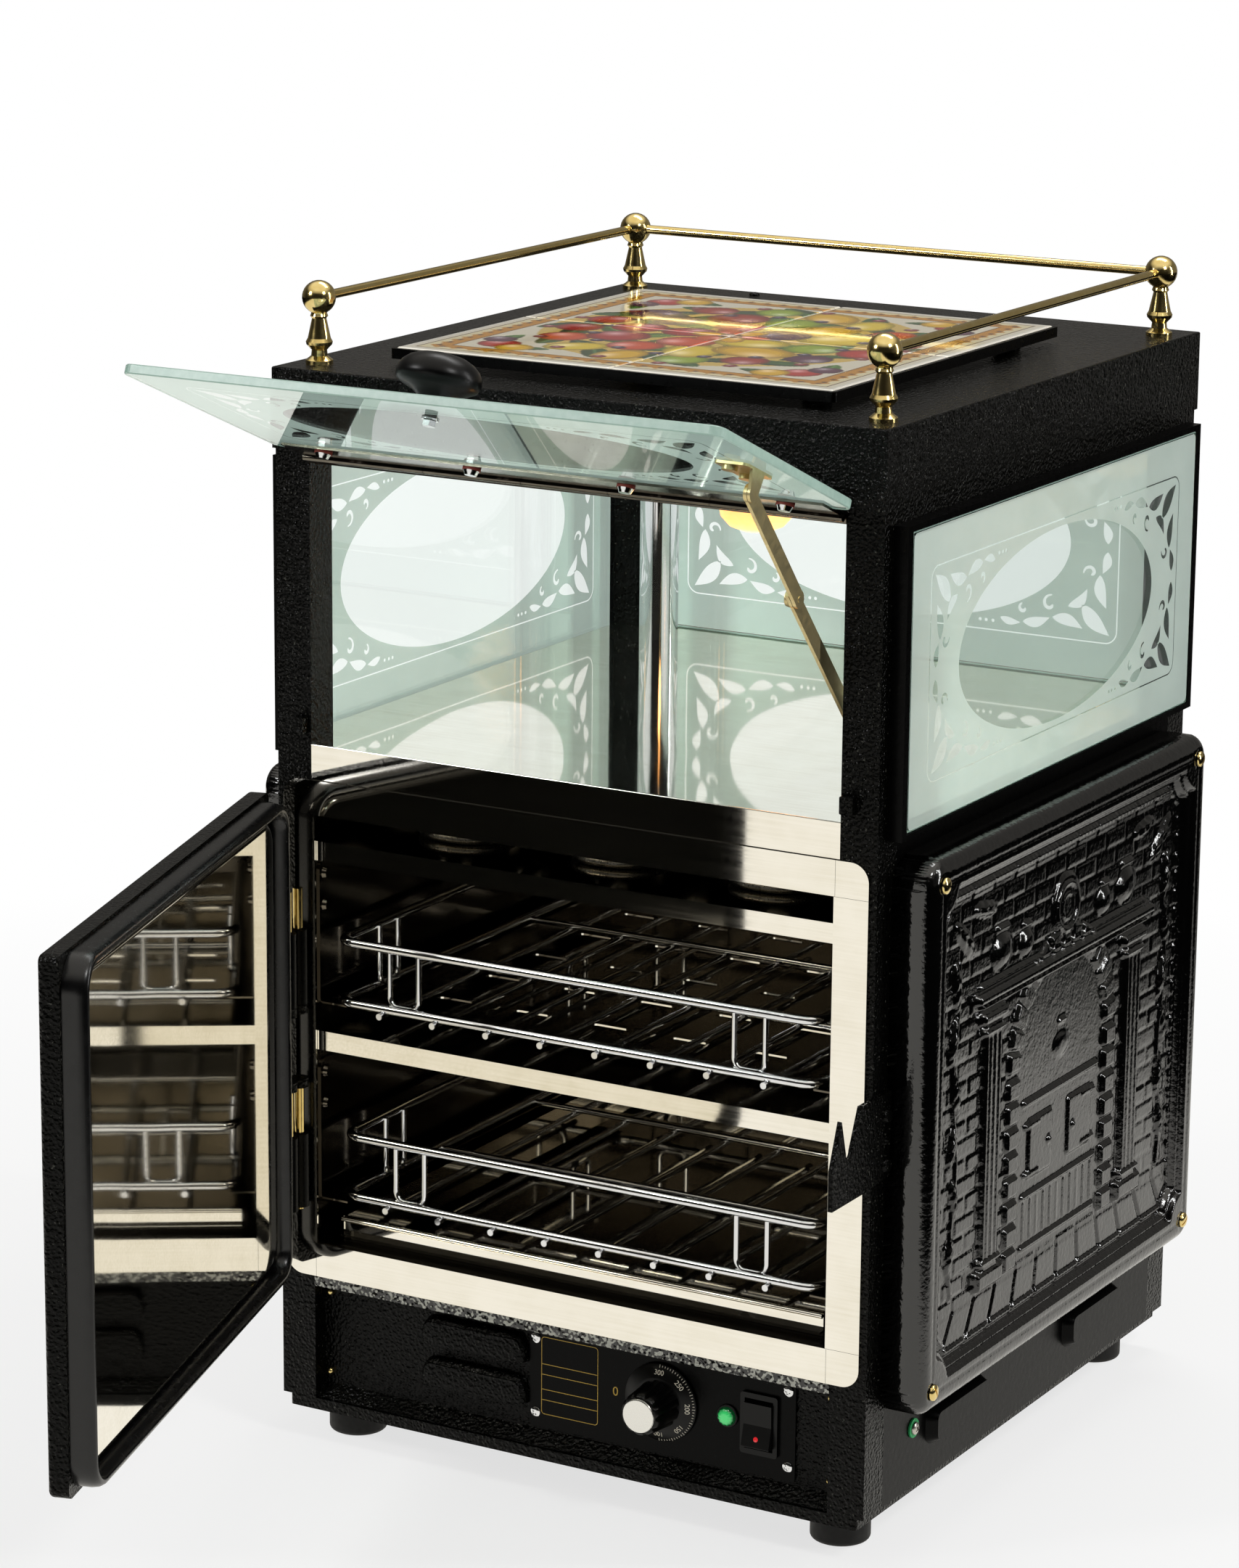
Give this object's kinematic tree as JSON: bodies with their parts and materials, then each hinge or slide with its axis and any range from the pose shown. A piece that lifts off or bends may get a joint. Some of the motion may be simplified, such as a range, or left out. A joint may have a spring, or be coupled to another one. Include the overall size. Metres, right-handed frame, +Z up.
{
  "type": "baked potato oven",
  "caption": "Countertop potato oven: a glazed warm display with a lift-up flap over a hinged-door oven with wire baskets, a drop-in latch, a thermostat and a brass gallery rail on the roof.",
  "frame": {"origin": "middle of the overall box at floor level, with the door open as stored", "axes": "+X to the right of the front, +Y from the front to the back, +Z up"},
  "size_m": [0.4862, 0.8554, 0.7553],
  "materials": {
    "black_texture": "coarse textured black powder coat",
    "black_smooth": "satin black paint",
    "cast_black": "satin black paint over a casting",
    "mirror_steel": "polished",
    "plain_steel": "satin",
    "chrome": "bright plated",
    "brass": "polished and lacquered",
    "etched_glass": "clear with an etched border and motif",
    "rubber": "moulded",
    "seal": "smooth extruded",
    "black_plastic": "moulded gloss",
    "fibre": "red fibre",
    "green_lens": "ribbed lens",
    "tile": "glazed picture tile",
    "warm_lamp": "warm lamp glass",
    "mineral_wool": "mineral wool slab"
  },
  "bodies": {
    "cabinet": {"base_tray": "black_texture", "feet": "rubber", "corner_posts": "black_texture", "side_walls": "black_smooth", "back_wall": "black_smooth", "inlet_gland": "black_plastic", "top_frame": "black_texture", "roof_cap": "black_texture", "gallery_posts": "brass", "gallery_rods": "brass", "side_frames": "black_smooth", "side_panes": "etched_glass", "rear_pane": "etched_glass", "deck": "mirror_steel", "flue_tube": "chrome", "display_lamp": "warm_lamp", "face_frame": "mirror_steel", "oven_liner": "mirror_steel", "baffles": "mirror_steel", "basket_runners": "mirror_steel", "heating_elements": "plain_steel", "insulation": "mineral_wool", "cast_panels": "cast_black", "panel_screws": "brass", "control_cover": "black_texture", "control_plate": "black_smooth", "cover_fixings": "plain_steel", "thermostat": "plain_steel", "pilot_lamp": "green_lens", "switch_housing": "black_plastic", "terminal_block": "black_plastic", "earth_screw": "plain_steel", "catch_plate": "black_smooth", "hinge_mounts": "black_texture", "hinge_pins": "brass", "flap_leaf_fixed": "mirror_steel", "stay_anchor": "black_smooth", "rest_clips": "black_smooth"},
    "flap": {"flap_glass": "etched_glass", "flap_strip": "mirror_steel", "flap_fixings": "plain_steel", "flap_washers": "fibre", "flap_knob": "black_plastic", "stay_bracket": "brass"},
    "stay_upper_link": {"stay_upper": "brass"},
    "stay_lower_link": {"stay_lower": "brass"},
    "door": {"door_shell": "black_texture", "door_seal": "seal", "door_pan": "mirror_steel", "door_arms": "black_smooth", "latch_plate": "black_smooth"},
    "latch": {"latch_lever": "black_smooth"},
    "upper_basket": {"basket_upper": "chrome"},
    "lower_basket": {"basket_lower": "chrome"},
    "crumb_drawer": {"crumb_tray": "mirror_steel"},
    "dial": {"thermostat_knob": "black_plastic", "knob_cap": "chrome"},
    "switch": {"rocker": "black_plastic"},
    "tile_lift": {"tile_tray": "black_smooth", "tiles": "tile"}
  },
  "joints": [
    {"name": "door_hinge", "type": "hinge", "parent": "cabinet", "child": "door", "pos_m": [-0.2015, -0.0424, 0.25], "axis": [0, 0, -1], "range_deg": [-73.2, 32]},
    {"name": "latch_pivot", "type": "hinge", "parent": "door", "child": "latch", "pos_m": [-0.14356, -0.31217, 0.276], "axis": [-0.9573, -0.289, 0], "range_deg": [-98, 0]},
    {"name": "flap_hinge", "type": "hinge", "parent": "cabinet", "child": "flap", "pos_m": [0, -0.0394, 0.65], "axis": [-1, 0, 0], "range_deg": [-112.6, 0]},
    {"name": "stay_top_pivot", "type": "hinge", "parent": "flap", "child": "stay_upper_link", "pos_m": [0.1818, -0.14435, 0.68047], "axis": [-1, 0, 0], "range_deg": [-26, 1]},
    {"name": "stay_knee", "type": "hinge", "parent": "stay_upper_link", "child": "stay_lower_link", "pos_m": [0.1798, -0.0834, 0.609], "axis": [-1, 0, 0], "range_deg": [-1, 174]},
    {"name": "upper_basket_slide", "type": "slide", "parent": "cabinet", "child": "upper_basket", "axis": [0, -1, 0], "range_m": [0, 0.085]},
    {"name": "lower_basket_slide", "type": "slide", "parent": "cabinet", "child": "lower_basket", "axis": [0, -1, 0], "range_m": [0, 0.085]},
    {"name": "crumb_tray_slide", "type": "slide", "parent": "cabinet", "child": "crumb_drawer", "axis": [0, -1, 0], "range_m": [0, 0.085]},
    {"name": "thermostat_turn", "type": "hinge", "parent": "cabinet", "child": "dial", "pos_m": [0.0647, -0.02405, 0.0749], "axis": [0, 1, 0], "range_deg": [0, 270]},
    {"name": "rocker_tilt", "type": "hinge", "parent": "cabinet", "child": "switch", "pos_m": [0.1345, -0.02005, 0.0739], "axis": [1, 0, 0], "range_deg": [0, 13]},
    {"name": "tile_tray_lift", "type": "slide", "parent": "cabinet", "child": "tile_lift", "axis": [0, 0, 1], "range_m": [0, 0.08]}
  ],
  "couplings": [
    {"joint": "stay_top_pivot", "follows": "flap_hinge", "ratio": 0.21616},
    {"joint": "stay_knee", "follows": "flap_hinge", "ratio": -1.5294}
  ]
}
